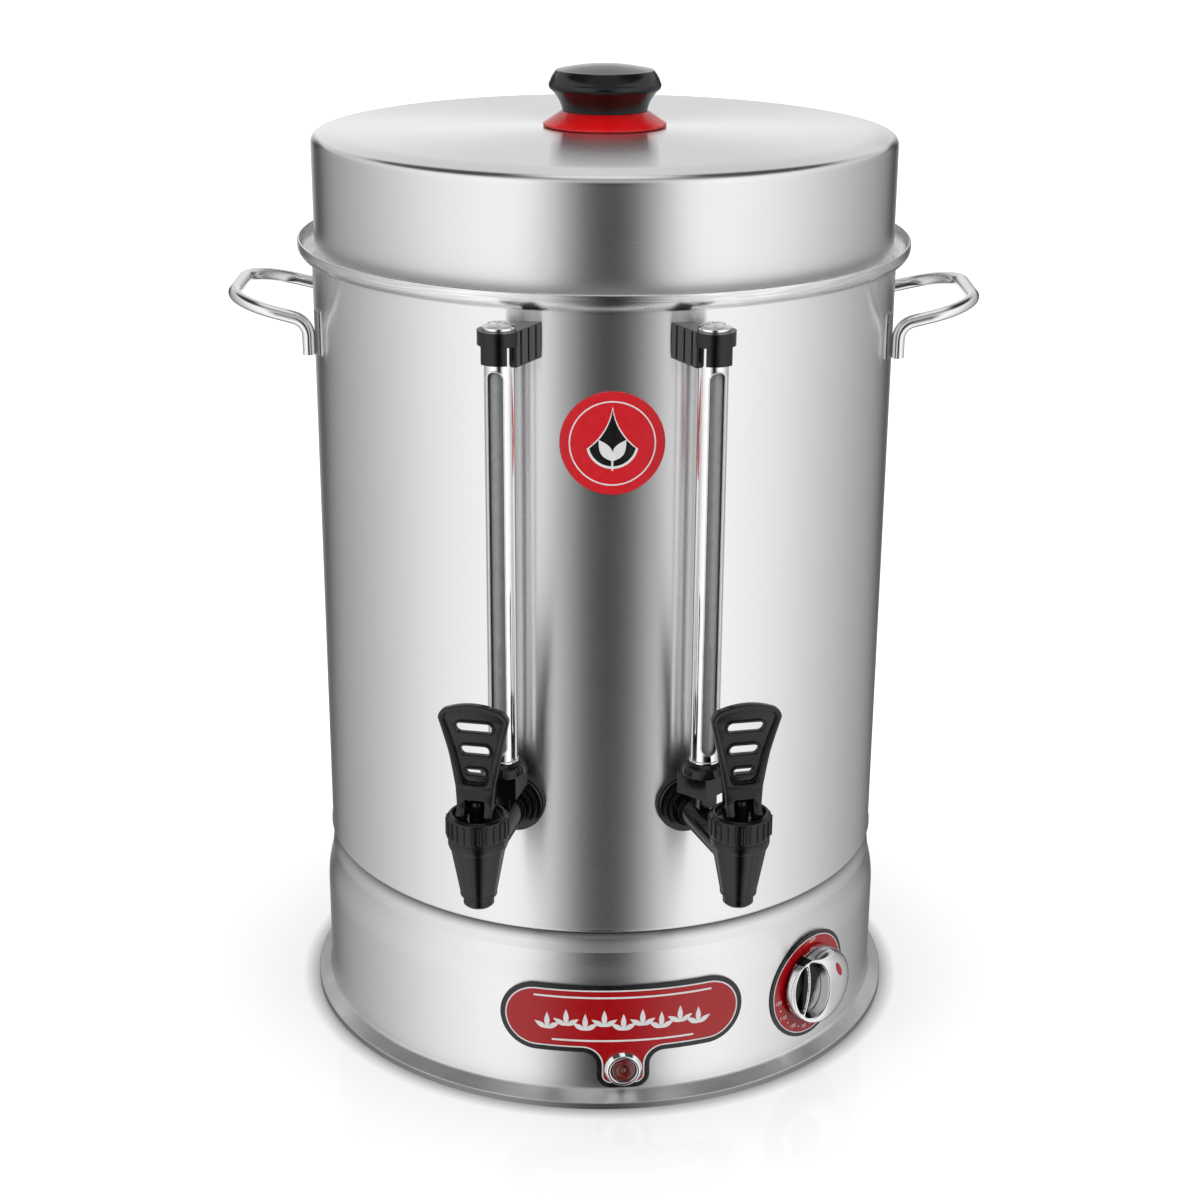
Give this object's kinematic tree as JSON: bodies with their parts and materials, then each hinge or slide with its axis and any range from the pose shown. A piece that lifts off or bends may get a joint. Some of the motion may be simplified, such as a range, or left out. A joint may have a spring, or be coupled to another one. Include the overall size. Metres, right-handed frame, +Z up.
{
  "type": "tea urn",
  "caption": "Round stainless tea urn with a lift-off lid, brewing pot and filter, lever taps with level gauges, side handles and a thermostat in its base",
  "frame": {"origin": "on the floor, on the urn's vertical axis", "axes": "+Z up; the taps face -Y; +X is on the right of someone who faces the taps"},
  "size_m": [0.41, 0.4092, 0.539],
  "materials": {
    "base_housing": "brushed stainless steel",
    "base_plate": "brushed stainless steel",
    "brew_pot": "brushed stainless steel",
    "cable_gland": "glossy black plastic",
    "collar_ring": "brushed stainless steel",
    "control_knob": "bright chrome plate",
    "control_shaft": "brushed stainless steel",
    "dial_plate": "printed and lacquered plate",
    "filter_basket": "brushed stainless steel",
    "foot_screws": "brushed stainless steel",
    "gauge_bracket_left": "glossy black plastic",
    "gauge_bracket_right": "glossy black plastic",
    "gauge_cap_left": "bright chrome plate",
    "gauge_cap_right": "bright chrome plate",
    "gauge_shield_left": "bright chrome plate",
    "gauge_shield_right": "bright chrome plate",
    "gauge_socket_left": "glossy black plastic",
    "gauge_socket_right": "glossy black plastic",
    "gauge_tube_left": "clear glass tube",
    "gauge_tube_right": "clear glass tube",
    "gland_nut": "glossy black plastic",
    "handle_left": "brushed stainless steel",
    "handle_pads": "brushed stainless steel",
    "handle_right": "brushed stainless steel",
    "heater_glands": "plain turned brass or copper",
    "heating_element": "brushed stainless steel",
    "inner_wires": "silicone insulated wires",
    "knob_base": "glossy red plastic",
    "knob_cap": "glossy black plastic",
    "knob_screw": "brushed stainless steel",
    "lamp_bezel": "bright chrome plate",
    "lamp_body": "black bakelite",
    "lamp_lens": "translucent red-brown lens",
    "lid_shell": "brushed stainless steel",
    "name_plate": "printed and lacquered plate",
    "round_label": "printed and lacquered plate",
    "rubber_feet": "moulded silicone or rubber",
    "tank_floor": "brushed stainless steel",
    "tank_shell": "brushed stainless steel",
    "tap_back_nut_left": "glossy black plastic",
    "tap_back_nut_right": "glossy black plastic",
    "tap_body_left": "glossy black plastic",
    "tap_body_right": "glossy black plastic",
    "tap_bonnet_nut_left": "glossy black plastic",
    "tap_bonnet_nut_right": "glossy black plastic",
    "tap_gasket_left": "moulded silicone or rubber",
    "tap_gasket_right": "moulded silicone or rubber",
    "tap_lever_left": "glossy black plastic",
    "tap_lever_pin_left": "glossy black plastic",
    "tap_lever_pin_right": "glossy black plastic",
    "tap_lever_right": "glossy black plastic",
    "tap_seat_cup_left": "moulded silicone or rubber",
    "tap_seat_cup_right": "moulded silicone or rubber",
    "tap_stem_left": "glossy black plastic",
    "tap_stem_right": "glossy black plastic",
    "tea_pipe": "moulded silicone or rubber",
    "terminal_block": "pale ceramic-like plastic",
    "thermostat_body": "black bakelite",
    "thermostat_capillary": "plain turned brass or copper",
    "tie_brackets": "brushed stainless steel"
  },
  "bodies": {
    "root": {"base_housing": "base_housing", "base_plate": "base_plate", "cable_gland": "cable_gland", "collar_ring": "collar_ring", "dial_plate": "dial_plate", "foot_screws": "foot_screws", "gauge_bracket_left": "gauge_bracket_left", "gauge_bracket_right": "gauge_bracket_right", "gauge_cap_left": "gauge_cap_left", "gauge_cap_right": "gauge_cap_right", "gauge_shield_left": "gauge_shield_left", "gauge_shield_right": "gauge_shield_right", "gauge_socket_left": "gauge_socket_left", "gauge_socket_right": "gauge_socket_right", "gauge_tube_left": "gauge_tube_left", "gauge_tube_right": "gauge_tube_right", "gland_nut": "gland_nut", "handle_left": "handle_left", "handle_pads": "handle_pads", "handle_right": "handle_right", "heater_glands": "heater_glands", "heating_element": "heating_element", "inner_wires": "inner_wires", "lamp_bezel": "lamp_bezel", "lamp_body": "lamp_body", "lamp_lens": "lamp_lens", "name_plate": "name_plate", "round_label": "round_label", "rubber_feet": "rubber_feet", "tank_floor": "tank_floor", "tank_shell": "tank_shell", "tap_back_nut_left": "tap_back_nut_left", "tap_back_nut_right": "tap_back_nut_right", "tap_body_left": "tap_body_left", "tap_body_right": "tap_body_right", "tap_bonnet_nut_left": "tap_bonnet_nut_left", "tap_bonnet_nut_right": "tap_bonnet_nut_right", "tap_gasket_left": "tap_gasket_left", "tap_gasket_right": "tap_gasket_right", "tea_pipe": "tea_pipe", "terminal_block": "terminal_block", "thermostat_body": "thermostat_body", "thermostat_capillary": "thermostat_capillary", "tie_brackets": "tie_brackets"},
    "brew_pot": {"brew_pot": "brew_pot"},
    "filter_basket": {"filter_basket": "filter_basket"},
    "lid": {"lid_shell": "lid_shell", "knob_base": "knob_base", "knob_cap": "knob_cap", "knob_screw": "knob_screw"},
    "control": {"control_knob": "control_knob", "control_shaft": "control_shaft"},
    "tap_stem_left": {"tap_stem_left": "tap_stem_left", "tap_seat_cup_left": "tap_seat_cup_left", "tap_lever_pin_left": "tap_lever_pin_left"},
    "tap_lever_left": {"tap_lever_left": "tap_lever_left"},
    "tap_stem_right": {"tap_stem_right": "tap_stem_right", "tap_seat_cup_right": "tap_seat_cup_right", "tap_lever_pin_right": "tap_lever_pin_right"},
    "tap_lever_right": {"tap_lever_right": "tap_lever_right"}
  },
  "joints": [
    {"name": "pot_lift", "type": "slide", "parent": "root", "child": "brew_pot", "axis": [0, 0, 1], "range_m": [0, 0.15]},
    {"name": "basket_lift", "type": "slide", "parent": "brew_pot", "child": "filter_basket", "axis": [0, 0, 1], "range_m": [0, 0.075]},
    {"name": "lid_lift", "type": "slide", "parent": "filter_basket", "child": "lid", "axis": [0, 0, 1], "range_m": [0, 0.1]},
    {"name": "stem_lift_left", "type": "slide", "parent": "root", "child": "tap_stem_left", "axis": [0, 0, 1], "range_m": [0, 0.00305], "stiffness_N_per_m": 200, "springref_m": -0.004},
    {"name": "lever_left", "type": "hinge", "parent": "tap_stem_left", "child": "tap_lever_left", "pos_m": [-0.06124, -0.2113, 0.1979], "axis": [0.9816, -0.1908, 0], "range_deg": [0, 50]},
    {"name": "stem_lift_right", "type": "slide", "parent": "root", "child": "tap_stem_right", "axis": [0, 0, 1], "range_m": [0, 0.00305], "stiffness_N_per_m": 200, "springref_m": -0.004},
    {"name": "lever_right", "type": "hinge", "parent": "tap_stem_right", "child": "tap_lever_right", "pos_m": [0.06993, -0.20796, 0.1979], "axis": [0.9781, 0.2079, 0], "range_deg": [0, 50]},
    {"name": "control_turn", "type": "hinge", "parent": "root", "child": "control", "pos_m": [0.11828, -0.11303, 0.0459], "axis": [-0.723, 0.6909, 0], "range_deg": [0, 255]}
  ],
  "couplings": [
    {"joint": "lever_left", "follows": "stem_lift_left", "rad_per_m": 285.83},
    {"joint": "lever_right", "follows": "stem_lift_right", "rad_per_m": 285.83}
  ]
}
